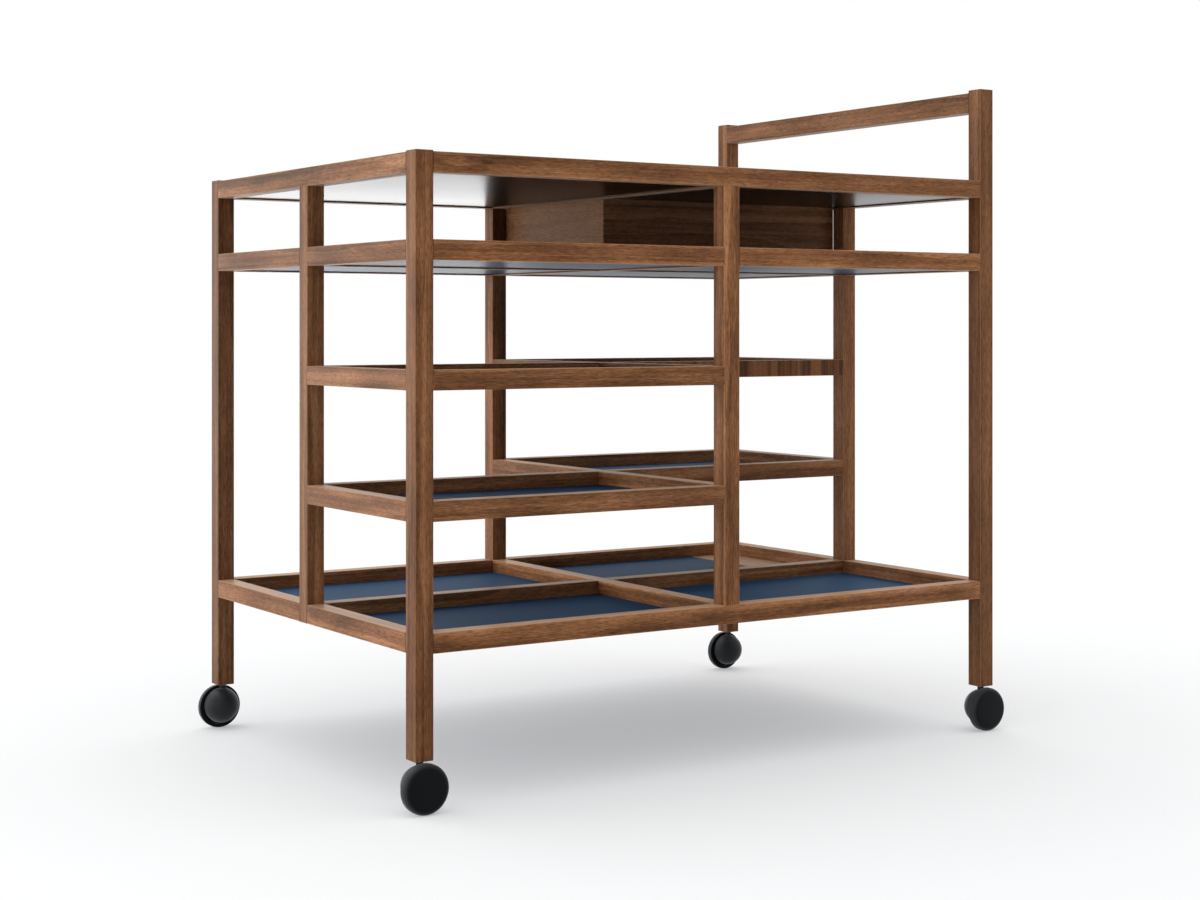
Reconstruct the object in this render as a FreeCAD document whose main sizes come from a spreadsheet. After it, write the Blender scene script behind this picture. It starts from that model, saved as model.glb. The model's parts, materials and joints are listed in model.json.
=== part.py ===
import FreeCAD, Part
import Sketcher
import os
import re

# Cheese trolley: a frame of square walnut posts and rails on four hooded castors.
#
# The frame has five levels. The top level holds two black panels. The second and the bottom level
# are whole trays, each divided in four by a long and a cross rail. The third and the fourth level
# have a tray in the front left quarter and one in the back right quarter only. A drawer stands in
# the back right quarter of the second tray and slides out to the back. The two right corner posts
# rise above the top and carry the handle rail.
#
# Frame of reference: X along the length towards the handle, Y towards the back, Z up, origin on
# the floor under the middle of the frame. Lengths are millimetres. Every level is the height of
# the upper face of its rails above the floor.

SIZES = {
    # posts and rails
    "frame_length": 950.0,
    "frame_width": 642.0,
    "section": 25.0,
    "arris_round": 1.0,
    "top_level": 802.5,
    "second_level": 696.0,
    "third_level": 537.5,
    "fourth_level": 378.5,
    "bottom_level": 219.0,
    "corner_rise": 1.5,
    # handle rail between the two tall posts
    "handle_top": 936.0,
    "handle_drop": 4.0,
    "handle_high": 28.5,
    "handle_thick": 25.0,
    # stub tenons, with their play in the mortises and in the half laps
    "tenon_thick": 8.0,
    "tenon_high": 15.0,
    "tenon_long": 7.0,
    "joint_play": 0.1,
    # panels, let into grooves in the rails
    "panel_thick": 4.0,
    "panel_lift": 2.0,
    "groove_deep": 5.0,
    "tongue_long": 4.5,
    "groove_play": 0.2,
    "end_board_wide": 75.0,
    # drawer housing
    "housing_thick": 12.0,
    "housing_play": 0.5,
    "runner_wide": 12.0,
    "runner_rise": 1.0,
    "runner_high": 11.7,
    "strip_high": 8.7,
    # drawer
    "front_thick": 18.0,
    "front_play": 1.5,
    "notch_round": 45.0,
    "notch_deep": 14.0,
    "side_thick": 12.0,
    "side_play": 1.0,
    "slide_play": 0.3,
    "base_thick": 5.0,
    "base_lift": 6.0,
    "dado_deep": 5.0,
    "dado_play": 0.15,
    # castors
    "wheel_round": 31.25,
    "wheel_thick": 14.0,
    "wheel_edge": 7.5,
    "wheel_offset": 5.2,
    "rim_wide": 5.5,
    "dish_deep": 8.0,
    "hub_round": 9.0,
    "bore_deep": 10.0,
    "hood_round": 25.5,
    "hood_skirt": 2.5,
    "hood_wall": 3.0,
    "hood_lift": 2.5,
    "hood_gap": 2.0,
    "hood_clear": 5.75,
    "castor_trail": 2.0,
    "axle_round": 3.0,
    "axle_boss": 6.0,
    "axle_grip": 18.0,
    "collar_round": 5.0,
    "running_play": 0.06,
    "face_play": 0.3,
    "neck_round": 3.0,
    "neck_boss": 4.6,
    "neck_long": 22.0,
    "stem_round": 4.0,
    "stem_long": 38.0,
    "socket_round": 5.5,
    "socket_over": 2.0,
    "flange_round": 7.5,
    "flange_thick": 1.0,
    "fitting_play": 0.05,
}

WORD = re.compile(r"[a-z_]+")
PLANES = {"x": "YZ_Plane", "y": "XZ_Plane", "z": "XY_Plane"}

# Low corner of a square member that stands in each column or row of the frame.
COLUMNS = {"left": "-frame_length / 2", "middle": "-section / 2", "right": "frame_length / 2 - section"}
ROWS = {"front": "-frame_width / 2", "middle": "-section / 2", "back": "frame_width / 2 - section"}

# Underside of the corner posts, above the castor hoods.
POST_FOOT = "(wheel_round + hood_lift + hood_round + hood_clear)"

# Corner and middle posts, by column and row.
POSTS = {
    ("left", "front"): "post_front_left",
    ("left", "back"): "post_back_left",
    ("right", "front"): "post_front_right",
    ("right", "back"): "post_back_right",
    ("middle", "front"): "post_front_middle",
    ("middle", "back"): "post_back_middle",
    ("left", "middle"): "post_left_middle",
    ("right", "middle"): "post_right_middle",
}

# Rails: node, level, direction, the two columns or rows that the rail spans, and its row or column.
RAILS = [
    ("top_rail_front", "top", "x", "left", "right", "front"),
    ("top_rail_back", "top", "x", "left", "right", "back"),
    ("top_rail_left", "top", "y", "front", "back", "left"),
    ("top_rail_right", "top", "y", "front", "back", "right"),
    ("top_rail_cross", "top", "y", "front", "back", "middle"),
    ("second_rails_front", "second", "x", "left", "middle", "front"),
    ("second_rails_front", "second", "x", "middle", "right", "front"),
    ("second_rails_back", "second", "x", "left", "middle", "back"),
    ("second_rails_back", "second", "x", "middle", "right", "back"),
    ("second_rails_left", "second", "y", "front", "middle", "left"),
    ("second_rails_left", "second", "y", "middle", "back", "left"),
    ("second_rails_right", "second", "y", "front", "middle", "right"),
    ("second_rails_right", "second", "y", "middle", "back", "right"),
    ("second_rail_long", "second", "x", "left", "right", "middle"),
    ("second_rail_cross", "second", "y", "front", "back", "middle"),
    ("third_rails_outer", "third", "x", "left", "middle", "front"),
    ("third_rails_outer", "third", "x", "middle", "right", "back"),
    ("third_rails_outer", "third", "y", "front", "middle", "left"),
    ("third_rails_outer", "third", "y", "middle", "back", "right"),
    ("third_rail_long", "third", "x", "left", "right", "middle"),
    ("third_rail_cross", "third", "y", "front", "back", "middle"),
    ("fourth_rails_outer", "fourth", "x", "left", "middle", "front"),
    ("fourth_rails_outer", "fourth", "x", "middle", "right", "back"),
    ("fourth_rails_outer", "fourth", "y", "front", "middle", "left"),
    ("fourth_rails_outer", "fourth", "y", "middle", "back", "right"),
    ("fourth_rail_long", "fourth", "x", "left", "right", "middle"),
    ("fourth_rail_cross", "fourth", "y", "front", "back", "middle"),
    ("bottom_rail_front", "bottom", "x", "left", "right", "front"),
    ("bottom_rail_back", "bottom", "x", "left", "right", "back"),
    ("bottom_rails_side", "bottom", "y", "front", "middle", "left"),
    ("bottom_rails_side", "bottom", "y", "middle", "back", "left"),
    ("bottom_rails_side", "bottom", "y", "front", "middle", "right"),
    ("bottom_rails_side", "bottom", "y", "middle", "back", "right"),
    ("bottom_rail_long", "bottom", "x", "left", "right", "middle"),
    ("bottom_rail_cross", "bottom", "y", "front", "back", "middle"),
]

# Panels: node, level, the two columns and the two rows that bound the bay.
PANELS = [
    ("top_panel_left", "top", "left", "middle", "front", "back"),
    ("top_panel_right", "top", "middle", "right", "front", "back"),
    ("second_panels", "second", "left", "middle", "front", "middle"),
    ("second_panels", "second", "left", "middle", "middle", "back"),
    ("second_panels", "second", "middle", "right", "front", "middle"),
    ("second_panels", "second", "middle", "right", "middle", "back"),
    ("third_panels", "third", "left", "middle", "front", "middle"),
    ("third_panels", "third", "middle", "right", "middle", "back"),
    ("fourth_panels", "fourth", "left", "middle", "front", "middle"),
    ("fourth_panels", "fourth", "middle", "right", "middle", "back"),
    ("bottom_panels", "bottom", "left", "middle", "front", "middle"),
    ("bottom_panels", "bottom", "left", "middle", "middle", "back"),
    ("bottom_panels", "bottom", "middle", "right", "front", "middle"),
    ("bottom_panels", "bottom", "middle", "right", "middle", "back"),
]

CASTOR_POSTS = [("left", "front"), ("left", "back"), ("right", "front"), ("right", "back")]

doc = FreeCAD.newDocument("cheese_trolley")
sheet = doc.addObject("Spreadsheet::Sheet", "Sizes")
for row, (alias, size) in enumerate(SIZES.items(), start=1):
    sheet.set(f"A{row}", alias)
    sheet.set(f"B{row}", str(size))
    sheet.setAlias(f"B{row}", alias)
doc.recompute()

nodes = {}


# Helpers for bound sizes, sketches and features.

def bind(item, prop, formula):
    """Bind a property to a formula whose words are aliases of the sheet."""
    item.setExpression(prop, WORD.sub(lambda word: "Sizes." + word.group(0), formula))


def move(item, corner):
    """Bind the position of a body or a primitive to three formulas."""
    for axis, formula in zip("xyz", corner):
        bind(item, "Placement.Base." + axis, formula)


def new_body(node, corner, turn=0):
    """Start a body of a node at a place, turned about the vertical by so many degrees."""
    pieces = nodes.setdefault(node, [])
    body = doc.addObject("PartDesign::Body", f"{node}_piece")
    body.Label = f"{node}_piece_{len(pieces) + 1}"
    body.Placement = FreeCAD.Placement(
        FreeCAD.Vector(0, 0, 0), FreeCAD.Rotation(FreeCAD.Vector(0, 0, 1), turn)
    )
    move(body, corner)
    pieces.append(body)
    return body


def origin_plane(body, role):
    """The origin plane of a body that has this role."""
    return [item for item in body.Origin.OriginFeatures if item.Role == role][0]


def outline(body, plane, points):
    """A closed polygon of lines, each corner at two formulas; "0" puts it on the sketch's axis."""
    sketch = body.newObject("Sketcher::SketchObject", "Outline")
    sketch.AttachmentSupport = (origin_plane(body, plane), [""])
    sketch.MapMode = "FlatFace"
    start = [FreeCAD.Vector(index, index * index, 0) for index in range(len(points))]
    for index in range(len(points)):
        sketch.addGeometry(Part.LineSegment(start[index], start[(index + 1) % len(points)]), False)
    for index in range(len(points)):
        sketch.addConstraint(Sketcher.Constraint("Coincident", index, 2, (index + 1) % len(points), 1))
    for index, place in enumerate(points):
        for axis, kind, formula in zip((-2, -1), ("DistanceX", "DistanceY"), place):
            if formula == "0":
                sketch.addConstraint(Sketcher.Constraint("PointOnObject", index, 1, axis))
                continue
            name = f"{'across' if axis == -2 else 'up'}_{index}"
            number = sketch.addConstraint(Sketcher.Constraint(kind, -1, 1, index, 1, 1.0 + index))
            sketch.renameConstraint(number, name)
            bind(sketch, "Constraints." + name, formula)
    return sketch


def padded(body, plane, points, length):
    """Pad an outline along the positive direction of its plane's axis."""
    pad = body.newObject("PartDesign::Pad", "Length")
    pad.Profile = outline(body, plane, points)
    pad.Reversed = plane == "XZ_Plane"
    bind(pad, "Length", length)
    doc.recompute()
    return pad


def turned(body, plane, points):
    """Turn an outline once round the upward axis of its sketch."""
    sketch = outline(body, plane, points)
    turn = body.newObject("PartDesign::Revolution", "Turned")
    turn.Profile = sketch
    turn.ReferenceAxis = (sketch, ["V_Axis"])
    turn.Angle = 360
    doc.recompute()
    return turn


def rounded(body, base, edges, radius):
    """Round these edges of a feature."""
    fillet = body.newObject("PartDesign::Fillet", "Rounding")
    fillet.Base = (base, edges)
    bind(fillet, "Radius", radius)
    doc.recompute()
    return fillet


def primitive(body, kind, corner, turn=None, **sizes):
    """Add to or cut from a body with a box, cylinder or sphere of bound sizes."""
    item = body.newObject("PartDesign::" + kind, kind)
    if turn:
        item.Placement = FreeCAD.Placement(FreeCAD.Vector(0, 0, 0), turn)
    move(item, corner)
    for prop, formula in sizes.items():
        bind(item, prop, formula)
    return item


def box(member, kind, corner, size):
    """Add or cut a box, given in the frame's own axes, on a member."""
    local = [f"({place}) - ({base})" for place, base in zip(corner, member["corner"])]
    primitive(member["body"], kind, local, Length=size[0], Width=size[1], Height=size[2])


# Posts and rails.

def make_member(node, along, corner, size, ends_rounded=False):
    """A square member with rounded arrises, by its direction, low corner and three sizes."""
    body = new_body(node, corner)
    width, high = [formula for axis, formula in zip("xyz", size) if axis != along]
    square = [("0", "0"), (width, "0"), (width, high), ("0", high)]
    pad = padded(body, PLANES[along], square, size["xyz".index(along)])
    edges = []
    for index, edge in enumerate(pad.Shape.Edges, start=1):
        run = edge.Vertexes[1].Point - edge.Vertexes[0].Point
        if ends_rounded or abs(getattr(run, along)) > run.Length / 2:
            edges.append(f"Edge{index}")
    rounded(body, pad, edges, "arris_round")
    return {"body": body, "along": along, "corner": corner, "size": size}


def join(member, end, thin, holder):
    """Give a member a stub tenon at its low or high end and its holder the mortise for it."""
    tenon_corner, tenon_size, mortise_corner, mortise_size = [], [], [], []
    for axis, low, size in zip("xyz", member["corner"], member["size"]):
        if axis == member["along"]:
            length = "tenon_long"
            base = f"{low} - tenon_long" if end == "low" else f"{low} + {size}"
            dug = f"{base} - joint_play" if end == "low" else base
            deep = "tenon_long + joint_play"
        else:
            length = "tenon_thick" if axis == thin else "tenon_high"
            base = f"{low} + ({size} - {length}) / 2"
            dug = f"{base} - joint_play"
            deep = f"{length} + 2 * joint_play"
        tenon_corner.append(base)
        tenon_size.append(length)
        mortise_corner.append(dug)
        mortise_size.append(deep)
    box(member, "AdditiveBox", tenon_corner, tenon_size)
    box(holder, "SubtractiveBox", mortise_corner, mortise_size)


def make_posts():
    """The four corner posts and the four middle posts, by node."""
    posts = {}
    for (column, row), node in POSTS.items():
        low, high, corner_post = POST_FOOT, "top_level + corner_rise", True
        if column == "right":
            high = "handle_top"
        if "middle" in (column, row):
            low, high, corner_post = "bottom_level", "top_level - section", False
        if row == "middle":
            low = "bottom_level - section"
        corner = (COLUMNS[column], ROWS[row], low)
        size = ("section", "section", f"{high} - ({low})")
        posts[node] = make_member(node, "z", corner, size, ends_rounded=corner_post)
    return posts


def make_rail(node, level, along, start, stop, place):
    """One rail between two columns or two rows, with its upper face on a level."""
    span = COLUMNS if along == "x" else ROWS
    begin = f"{span[start]} + section"
    length = f"({span[stop]}) - ({span[start]}) - section"
    low = f"{level}_level - section"
    if along == "x":
        return make_member(node, along, (begin, ROWS[place], low), (length, "section", "section"))
    return make_member(node, along, (COLUMNS[place], begin, low), ("section", length, "section"))


def holder_at(level, column, row):
    """The member that the end of a rail meets: a post, or a rail that passes over or under one."""
    if level in ("top", "bottom") and column == "middle":
        return members[f"{level}_rail_{row}"]
    return members[POSTS[column, row]]


def groove(rail, level, along, place, bay):
    """Cut the groove for the panel of a bay in a rail that bounds the bay."""
    columns, rows = bay[:2], bay[2:]
    sides = rows if along == "x" else columns
    span = columns if along == "x" else rows
    steps = COLUMNS if along == "x" else ROWS
    base = ROWS[place] if along == "x" else COLUMNS[place]
    face = f"{base} + section - groove_deep" if place == sides[0] else base
    begin = f"{steps[span[0]]} + section"
    length = f"({steps[span[1]]}) - ({steps[span[0]]}) - section"
    low = f"{level}_level - section + panel_lift - groove_play / 2"
    high = "panel_thick + groove_play"
    if along == "x":
        box(rail, "SubtractiveBox", (begin, face, low), (length, "groove_deep", high))
    else:
        box(rail, "SubtractiveBox", (face, begin, low), ("groove_deep", length, high))


def covers(span, start, stop, steps):
    """Whether a rail from start to stop runs along the whole of a bay's side."""
    order = list(steps)
    return order.index(start) <= order.index(span[0]) and order.index(span[1]) <= order.index(stop)


def groove_rail(rail, level, along, start, stop, place):
    """Cut every groove that the bays of its level need in a rail."""
    for node, bay_level, *bay in PANELS:
        sides, span = (bay[2:], bay[:2]) if along == "x" else (bay[:2], bay[2:])
        steps = COLUMNS if along == "x" else ROWS
        if bay_level == level and place in sides and covers(span, start, stop, steps):
            groove(rail, level, along, place, bay)


def half_lap(rail, kept):
    """Halve a middle rail where the long and the cross rail pass through each other."""
    crossing = "-section / 2 - joint_play"
    length = "section + 2 * joint_play"
    base = rail["corner"][2]
    low = f"{base} + section / 2" if kept == "lower" else base
    if rail["along"] == "x":
        corner, size = (crossing, ROWS["middle"], low), (length, "section", "section / 2")
    else:
        corner, size = (COLUMNS["middle"], crossing, low), ("section", length, "section / 2")
    box(rail, "SubtractiveBox", corner, size)


def make_rails():
    """All rails with their tenons, grooves and half laps."""
    made = []
    for entry in RAILS:
        rail = make_rail(*entry)
        members[entry[0]] = rail
        made.append((rail, entry))
    for rail, (node, level, along, start, stop, place) in made:
        thin = "y" if along == "x" else "x"
        for end, spot in (("low", start), ("high", stop)):
            column, row = (spot, place) if along == "x" else (place, spot)
            join(rail, end, thin, holder_at(level, column, row))
        groove_rail(rail, level, along, start, stop, place)
        if node.endswith("_long"):
            half_lap(rail, "lower")
        if node.endswith("_cross") and level != "top":
            half_lap(rail, "upper")


def join_middle_posts():
    """Tenon the middle posts into the rails above them and, at the front and the back, below them."""
    for row in ("front", "back"):
        post = members[f"post_{row}_middle"]
        join(post, "low", "y", members[f"bottom_rail_{row}"])
        join(post, "high", "y", members[f"top_rail_{row}"])
    for column in ("left", "right"):
        join(members[f"post_{column}_middle"], "high", "x", members[f"top_rail_{column}"])


def make_handle():
    """The handle rail between the two tall posts, on the side of the tray."""
    low = "handle_top - handle_drop - handle_high"
    corner = (COLUMNS["right"], f"{ROWS['front']} + section", low)
    length = f"({ROWS['back']}) - ({ROWS['front']}) - section"
    rail = make_member("handle_rail", "y", corner, ("handle_thick", length, "handle_high"))
    join(rail, "low", "x", members["post_front_right"])
    join(rail, "high", "x", members["post_back_right"])


# Panels.

def make_board(node, level, x_low, x_high, y_low, y_high, left_tongue=True, right_tongue=True):
    """A panel whose tongues enter the grooves round its bay and whose corners clear the posts."""
    low = f"{level}_level - section + panel_lift"
    body = new_body(node, (x_low, y_low, low))
    board = {"body": body, "corner": (x_low, y_low, low)}
    reach = [f"{x_low} - tongue_long" if left_tongue else x_low]
    reach.append(f"{x_high} + tongue_long" if right_tongue else x_high)
    inside = [f"{x_low} + groove_play" if left_tongue else x_low]
    inside.append(f"{x_high} - groove_play" if right_tongue else x_high)
    strips = [
        (reach, [f"{y_low} + groove_play", f"{y_high} - groove_play"]),
        (inside, [f"{y_low} - tongue_long", f"{y_high} + tongue_long"]),
    ]
    for across, up in strips:
        size = (f"({across[1]}) - ({across[0]})", f"({up[1]}) - ({up[0]})", "panel_thick")
        box(board, "AdditiveBox", (across[0], up[0], low), size)


def make_panels():
    """The panels of every bay; the back right bay of the bottom tray ends in a wooden board."""
    for node, level, left, right, front, back in PANELS:
        x_low, x_high = f"{COLUMNS[left]} + section", COLUMNS[right]
        y_low, y_high = f"{ROWS[front]} + section", ROWS[back]
        if (level, right, back) == ("bottom", "right", "back"):
            seam = f"{x_high} - end_board_wide"
            make_board(node, level, x_low, f"{seam} - groove_play", y_low, y_high, right_tongue=False)
            make_board("bottom_end_board", level, seam, x_high, y_low, y_high, left_tongue=False)
        else:
            make_board(node, level, x_low, x_high, y_low, y_high)


# Drawer housing and drawer. The bay is the back right quarter of the second tray.

BAY_LEFT = "section / 2"
BAY_RIGHT = "frame_length / 2 - section"
BAY_NEAR = "section / 2"
BAY_LONG = "(frame_length / 2 - section - section / 2)"
BAY_WIDE = "(frame_width / 2 - section - section / 2)"
TRAY_FLOOR = "second_level - section + panel_lift + panel_thick"
HOUSING_TOP = "top_level - section + panel_lift - housing_play"
FRONT_INSIDE = "frame_width / 2 - front_thick"
DRAWER_NEAR = f"{BAY_NEAR} + housing_thick + housing_play"
RUNNER_BASE = "(second_level + runner_rise)"
SIDE_BASE = f"({RUNNER_BASE} + runner_high + slide_play)"
STRIP_LOW = f"({HOUSING_TOP} - strip_high)"
SIDE_HIGH = f"({STRIP_LOW} - slide_play - {SIDE_BASE})"


def make_housing():
    """Three mitred boards that stand in the tray and close the drawer's bay at three sides."""
    high = f"{HOUSING_TOP} - ({TRAY_FLOOR})"
    thick = "housing_thick"
    inner = [("0", "0"), (BAY_LONG, "0"), (f"{BAY_LONG} - {thick}", thick), (thick, thick)]
    left = [("0", "0"), (thick, thick), (thick, BAY_WIDE), ("0", BAY_WIDE)]
    right = [(thick, "0"), (thick, BAY_WIDE), ("0", BAY_WIDE), ("0", thick)]
    padded(new_body("housing_inner", (BAY_LEFT, BAY_NEAR, TRAY_FLOOR)), "XY_Plane", inner, high)
    padded(new_body("housing_left", (BAY_LEFT, BAY_NEAR, TRAY_FLOOR)), "XY_Plane", left, high)
    right_corner = (f"{BAY_RIGHT} - {thick}", BAY_NEAR, TRAY_FLOOR)
    padded(new_body("housing_right", right_corner), "XY_Plane", right, high)


def make_block(node, corner, size):
    """A plain board by its low corner and its three sizes."""
    body = new_body(node, corner)
    rectangle = [("0", "0"), (size[0], "0"), (size[0], size[1]), ("0", size[1])]
    padded(body, "XY_Plane", rectangle, size[2])
    return {"body": body, "corner": corner, "size": size}


def make_runners():
    """A runner under each drawer side and a strip above it that keeps the open drawer level."""
    long = f"{BAY_WIDE} - housing_thick"
    near = f"{BAY_NEAR} + housing_thick"
    for left in (f"{BAY_LEFT} + housing_thick", f"{BAY_RIGHT} - housing_thick - runner_wide"):
        make_block("drawer_runners", (left, near, RUNNER_BASE), ("runner_wide", long, "runner_high"))
        make_block("drawer_runners", (left, near, STRIP_LOW), ("runner_wide", long, "strip_high"))


def make_drawer():
    """Front with a finger notch, two sides, a back and a base, joined by dados and a groove."""
    tongue = "(dado_deep - dado_play)"
    left_out = f"{BAY_LEFT} + housing_thick + side_play"
    right_out = f"{BAY_RIGHT} - housing_thick - side_play"
    left_in = f"{left_out} + side_thick"
    right_in = f"{right_out} - side_thick"
    back_inside = f"{DRAWER_NEAR} + side_thick"
    groove_low = f"{SIDE_BASE} + base_lift - dado_play"
    groove_high = "base_thick + 2 * dado_play"

    front_low = "second_level + front_play"
    front_high = f"top_level - section - front_play - ({front_low})"
    front_corner = (f"{BAY_LEFT} + front_play", FRONT_INSIDE, front_low)
    front_size = (f"{BAY_LONG} - 2 * front_play", "front_thick", front_high)
    front = make_block("drawer_front", front_corner, front_size)
    for edge in (left_out, right_in):
        slot_low = f"{SIDE_BASE} - dado_play"
        slot_size = ("side_thick + 2 * dado_play", "dado_deep", f"{SIDE_HIGH} + 2 * dado_play")
        box(front, "SubtractiveBox", (f"{edge} - dado_play", FRONT_INSIDE, slot_low), slot_size)
    slot_long = f"({right_in}) - ({left_in})"
    slot_size = (slot_long, "dado_deep", groove_high)
    box(front, "SubtractiveBox", (left_in, FRONT_INSIDE, groove_low), slot_size)
    along_y = FreeCAD.Rotation(FreeCAD.Vector(1, 0, 0), -90)
    notch_centre = (f"({front_size[0]}) / 2", "0", f"{front_high} - notch_deep + notch_round")
    primitive(
        front["body"], "SubtractiveCylinder", notch_centre, along_y,
        Radius="notch_round", Height="front_thick",
    )

    side_long = f"{FRONT_INSIDE} + {tongue} - ({DRAWER_NEAR})"
    for out, groove_at in ((left_out, f"{left_in} - dado_deep"), (right_in, right_in)):
        size = ("side_thick", side_long, SIDE_HIGH)
        side = make_block("drawer_sides", (out, DRAWER_NEAR, SIDE_BASE), size)
        groove_size = ("dado_deep", side_long, groove_high)
        box(side, "SubtractiveBox", (groove_at, DRAWER_NEAR, groove_low), groove_size)
        dado_size = ("dado_deep", "side_thick + dado_play", SIDE_HIGH)
        box(side, "SubtractiveBox", (groove_at, DRAWER_NEAR, SIDE_BASE), dado_size)

    back_left = f"{left_in} - {tongue}"
    back_long = f"({right_in}) - ({left_in}) + 2 * {tongue}"
    back_corner = (back_left, DRAWER_NEAR, SIDE_BASE)
    back = make_block("drawer_back", back_corner, (back_long, "side_thick", SIDE_HIGH))
    back_groove = (back_left, f"{back_inside} - dado_deep", groove_low)
    box(back, "SubtractiveBox", back_groove, (back_long, "dado_deep", groove_high))

    base_corner = (back_left, f"{back_inside} - {tongue}", f"{SIDE_BASE} + base_lift")
    base_wide = f"{FRONT_INSIDE} - ({back_inside}) + 2 * {tongue}"
    make_block("drawer_base", base_corner, (back_long, base_wide, "base_thick"))


# Castors. In a castor's own axes Y points away from the trolley and the axle lies at negative X.

NECK_TOP = f"{POST_FOOT} - flange_thick - face_play"
HOOD_FACE = "wheel_offset - hood_gap"


def bore_post(post):
    """Bore a corner post from below for its castor socket."""
    primitive(
        post["body"], "SubtractiveCylinder", ("section / 2", "section / 2", "0"),
        Radius="socket_round + fitting_play", Height="stem_long + socket_over",
    )


def make_hood(node, place, turn):
    """Half a ball with a short skirt, hollow, with a boss for the axle and one for the stem."""
    body = new_body(node, place, turn)
    inward = FreeCAD.Rotation(FreeCAD.Vector(1, 0, 0), 90)
    inner_round = "hood_round - hood_wall"
    centre = ("0", f"{HOOD_FACE} - hood_skirt", "0")
    face = ("0", HOOD_FACE, "0")
    for kind, radius in (("Additive", "hood_round"), ("Subtractive", inner_round)):
        primitive(body, kind + "Cylinder", face, inward, Radius=radius, Height="hood_skirt")
        ball = primitive(body, kind + "Sphere", centre, inward, Radius=radius)
        ball.Angle1 = 0
    axle_at = ("0", HOOD_FACE, "-hood_lift")
    boss_long = f"hood_skirt + {inner_round}"
    primitive(body, "AdditiveCylinder", axle_at, inward, Radius="axle_boss", Height=boss_long)
    neck_low = f"{NECK_TOP} - neck_long - (wheel_round + hood_lift)"
    neck_at = ("castor_trail", "0", neck_low)
    primitive(body, "AdditiveCylinder", neck_at, Radius="neck_boss", Height="neck_long")
    bore = "axle_round + fitting_play"
    primitive(body, "SubtractiveCylinder", axle_at, inward, Radius=bore, Height="axle_grip")
    hole_at = ("castor_trail", "0", f"{neck_low} + hood_wall")
    hole = "neck_round + fitting_play"
    primitive(body, "SubtractiveCylinder", hole_at, Radius=hole, Height="neck_long - hood_wall")


def make_wheel(node, place, turn):
    """A disc wheel, smooth outside with a rounded edge, dished inside round its hub."""
    body = new_body(node, place, turn)
    bore = "axle_round + running_play"
    inside = "wheel_offset"
    dish = "wheel_offset + dish_deep"
    rim = "wheel_round - rim_wide"
    outside = "wheel_offset + wheel_thick"
    bore_end = "wheel_offset + bore_deep"
    disc = turned(body, "XY_Plane", [
        (bore, inside), ("hub_round", inside), ("hub_round", dish), (rim, dish), (rim, inside),
        ("wheel_round", inside), ("wheel_round", outside), ("0", outside), ("0", bore_end),
        (bore, bore_end),
    ])
    circles = []
    for index, edge in enumerate(disc.Shape.Edges, start=1):
        if edge.Closed:
            circles.append((edge.Curve.Center.y, edge.Curve.Radius, f"Edge{index}"))
    rim_edge = max(circles)[2]
    rounded(body, disc, [rim_edge], "wheel_edge")


def make_pins(node, swivel, axle, turn):
    """The stem, stepped where it enters the hood, and the axle with its collar."""
    spigot = "neck_long - hood_wall"
    stem_top = f"{spigot} + flange_thick + face_play + stem_long"
    stem = new_body(node, (swivel[0], swivel[1], f"{NECK_TOP} - ({spigot})"), turn)
    turned(stem, "XZ_Plane", [
        ("0", "0"), ("neck_round", "0"), ("neck_round", spigot), ("stem_round", spigot),
        ("stem_round", stem_top), ("0", stem_top),
    ])
    collar_end = "axle_grip + hood_gap - face_play"
    axle_end = "axle_grip + hood_gap + bore_deep - face_play"
    turned(new_body(node, axle, turn), "XY_Plane", [
        ("0", "0"), ("axle_round", "0"), ("axle_round", "axle_grip"), ("collar_round", "axle_grip"),
        ("collar_round", collar_end), ("axle_round", collar_end), ("axle_round", axle_end),
        ("0", axle_end),
    ])


def make_socket(swivel):
    """A flanged sleeve in the foot of a post, in which the stem turns."""
    body = new_body("castor_sockets", (swivel[0], swivel[1], f"{POST_FOOT} - flange_thick"))
    bore = "stem_round + running_play"
    top = "flange_thick + stem_long + socket_over"
    turned(body, "XZ_Plane", [
        (bore, "0"), ("flange_round", "0"), ("flange_round", "flange_thick"),
        ("socket_round", "flange_thick"), ("socket_round", top), (bore, top),
    ])


def make_castors():
    """A castor under each corner post, its wheel on the outer side of the trolley."""
    for column, row in CASTOR_POSTS:
        bore_post(members[POSTS[column, row]])
        turn, away, trail = (180, "-", "+") if row == "front" else (0, "+", "-")
        name = f"castor_{row}_{column}"
        swivel = (f"{COLUMNS[column]} + section / 2", f"{ROWS[row]} + section / 2")
        across = f"{swivel[0]} {trail} castor_trail"
        make_hood(name + "_hood", (across, swivel[1], "wheel_round + hood_lift"), turn)
        make_wheel(name + "_wheel", (across, swivel[1], "wheel_round"), turn)
        axle_start = f"{swivel[1]} {away} ({HOOD_FACE} - axle_grip)"
        make_pins(name + "_pins", swivel, (across, axle_start, "wheel_round"), turn)
        make_socket(swivel)


def finish_nodes():
    """Name each node's object; a node of several pieces becomes a compound of them."""
    finished = []
    for node, pieces in nodes.items():
        item = pieces[0]
        if len(pieces) > 1:
            item = doc.addObject("Part::Compound", node)
            item.Links = pieces
        item.Label = node
        finished.append(item)
    doc.recompute()
    return finished


def check_and_write(finished):
    """Stop on any failed object or bad shape, then write one file for each node."""
    for item in doc.Objects:
        if {"Invalid", "Error"} & set(item.State):
            raise RuntimeError(f"{item.Label} failed: {item.State}")
    for item in finished:
        shape = item.Shape
        if shape.isNull() or not shape.isValid() or len(shape.Solids) != len(nodes[item.Label]):
            raise RuntimeError(f"{item.Label} has a bad shape")
    os.makedirs("parts", exist_ok=True)
    for item in finished:
        item.Shape.exportStep(f"parts/{item.Label}.step")
    print(len(finished), "nodes,", sum(len(item.Shape.Solids) for item in finished), "solids")


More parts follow.
